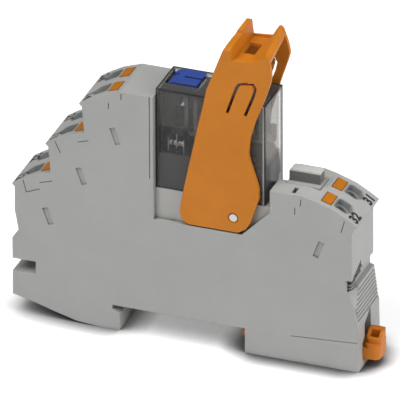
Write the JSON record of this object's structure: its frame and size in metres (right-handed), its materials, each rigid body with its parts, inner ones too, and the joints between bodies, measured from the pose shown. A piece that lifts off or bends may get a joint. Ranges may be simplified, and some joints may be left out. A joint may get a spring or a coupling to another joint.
{
  "type": "relay module",
  "caption": "Plug-in relay module for a 35 mm rail: stepped push-in terminals, clear-covered relay, orange retaining lever, plug-in function module and rail latch.",
  "frame": {"origin": "middle of the rail slot at mid width, on the face that bears on the rail", "axes": "+X along the module from the stepped terminals to the latch end, +Y across it along the rail, +Z away from the rail"},
  "size_m": [0.0963, 0.016, 0.0863],
  "materials": {
    "housing": "fine matt moulding grain",
    "socket": "matt moulding",
    "button": "satin moulding",
    "lever": "satin moulding",
    "latch": "satin moulding",
    "funnel": "matt moulding",
    "pivot": "turned steel pin",
    "copper": "stamped copper alloy",
    "spring_steel": "bent spring strip",
    "relay_black": "dark moulding",
    "smoked_cover": "clear smoked moulding",
    "contact_alloy": "tinned contact strip",
    "bobbin": "cream moulding",
    "coil_tape": "wrapped tape",
    "soft_iron": "stamped soft iron",
    "blue": "glossy moulding",
    "module": "matt moulding"
  },
  "bodies": {
    "housing": {"housing_tub": "housing", "side_cover": "housing", "relay_socket": "socket", "socket_contacts": "copper", "lever_pivot_pins": "pivot", "wire_funnels": "funnel", "terminal_partitions": "funnel", "current_bar_1": "copper", "current_bar_2": "copper", "current_bar_3": "copper", "current_bar_4": "copper", "current_bar_5": "copper", "current_bar_6": "copper", "current_bar_7": "copper", "current_bar_8": "copper", "clamp_spring_1": "spring_steel", "clamp_spring_2": "spring_steel", "clamp_spring_3": "spring_steel", "clamp_spring_4": "spring_steel", "clamp_spring_5": "spring_steel", "clamp_spring_6": "spring_steel", "clamp_spring_7": "spring_steel", "clamp_spring_8": "spring_steel", "latch_spring": "spring_steel"},
    "button_1": {"release_button_1": "button"},
    "button_2": {"release_button_2": "button"},
    "button_3": {"release_button_3": "button"},
    "button_4": {"release_button_4": "button"},
    "button_5": {"release_button_5": "button"},
    "button_6": {"release_button_6": "button"},
    "button_7": {"release_button_7": "button"},
    "button_8": {"release_button_8": "button"},
    "lever": {"retaining_lever": "lever"},
    "relay": {"relay_base": "relay_black", "relay_cover": "smoked_cover", "relay_frame": "relay_black", "fixed_contact_blades": "contact_alloy", "common_blades": "contact_alloy", "coil_pins": "contact_alloy", "coil_bobbin": "bobbin", "coil_winding": "coil_tape", "coil_core": "soft_iron", "relay_yoke": "soft_iron"},
    "armature": {"armature": "soft_iron", "contact_carrier": "relay_black", "moving_contacts": "contact_alloy"},
    "test_lever": {"test_lever": "blue"},
    "function_module": {"function_module": "module", "module_contacts": "contact_alloy"},
    "rail_latch": {"foot_latch": "latch"}
  },
  "joints": [
    {"name": "button_1_press", "type": "slide", "parent": "housing", "child": "button_1", "axis": [0.454, 0, -0.891], "range_m": [0, 0.0015], "stiffness_N_per_m": 600, "springref_m": -0.0005, "deforming": ["clamp_spring_1"]},
    {"name": "button_2_press", "type": "slide", "parent": "housing", "child": "button_2", "axis": [0.454, 0, -0.891], "range_m": [0, 0.0015], "stiffness_N_per_m": 600, "springref_m": -0.0005, "deforming": ["clamp_spring_2"]},
    {"name": "button_3_press", "type": "slide", "parent": "housing", "child": "button_3", "axis": [0.454, 0, -0.891], "range_m": [0, 0.0015], "stiffness_N_per_m": 600, "springref_m": -0.0005, "deforming": ["clamp_spring_3"]},
    {"name": "button_4_press", "type": "slide", "parent": "housing", "child": "button_4", "axis": [0.454, 0, -0.891], "range_m": [0, 0.0015], "stiffness_N_per_m": 600, "springref_m": -0.0005, "deforming": ["clamp_spring_4"]},
    {"name": "button_5_press", "type": "slide", "parent": "housing", "child": "button_5", "axis": [0.454, 0, -0.891], "range_m": [0, 0.0015], "stiffness_N_per_m": 600, "springref_m": -0.0005, "deforming": ["clamp_spring_5"]},
    {"name": "button_6_press", "type": "slide", "parent": "housing", "child": "button_6", "axis": [0.454, 0, -0.891], "range_m": [0, 0.0015], "stiffness_N_per_m": 600, "springref_m": -0.0005, "deforming": ["clamp_spring_6"]},
    {"name": "button_7_press", "type": "slide", "parent": "housing", "child": "button_7", "axis": [-0.454, 0, -0.891], "range_m": [0, 0.0015], "stiffness_N_per_m": 600, "springref_m": -0.0005, "deforming": ["clamp_spring_7"]},
    {"name": "button_8_press", "type": "slide", "parent": "housing", "child": "button_8", "axis": [-0.454, 0, -0.891], "range_m": [0, 0.0015], "stiffness_N_per_m": 600, "springref_m": -0.0005, "deforming": ["clamp_spring_8"]},
    {"name": "lever_swing", "type": "hinge", "parent": "housing", "child": "lever", "pos_m": [0.0147, 0, 0.0309], "axis": [0, 1, 0], "range_deg": [0, 20]},
    {"name": "relay_lift", "type": "slide", "parent": "housing", "child": "relay", "axis": [0, 0, 1], "range_m": [0, 0.00375]},
    {"name": "armature_swing", "type": "hinge", "parent": "relay", "child": "armature", "pos_m": [0.00145, 0, 0.051], "axis": [0, 1, 0], "range_deg": [0, 5]},
    {"name": "test_lever_flip", "type": "hinge", "parent": "relay", "child": "test_lever", "pos_m": [-0.0032, 0, 0.0611], "axis": [0, -1, 0], "range_deg": [0, 90]},
    {"name": "module_pull", "type": "slide", "parent": "housing", "child": "function_module", "axis": [0, 0, 1], "range_m": [0, 0.016]},
    {"name": "latch_pull", "type": "slide", "parent": "housing", "child": "rail_latch", "axis": [1, 0, 0], "range_m": [0, 0.003], "stiffness_N_per_m": 700, "springref_m": -0.001, "deforming": ["latch_spring"]}
  ],
  "couplings": [
    {"joint": "relay_lift", "follows": "lever_swing", "m_per_rad": 0.0107},
    {"joint": "armature_swing", "follows": "test_lever_flip", "ratio": 0.0555}
  ]
}
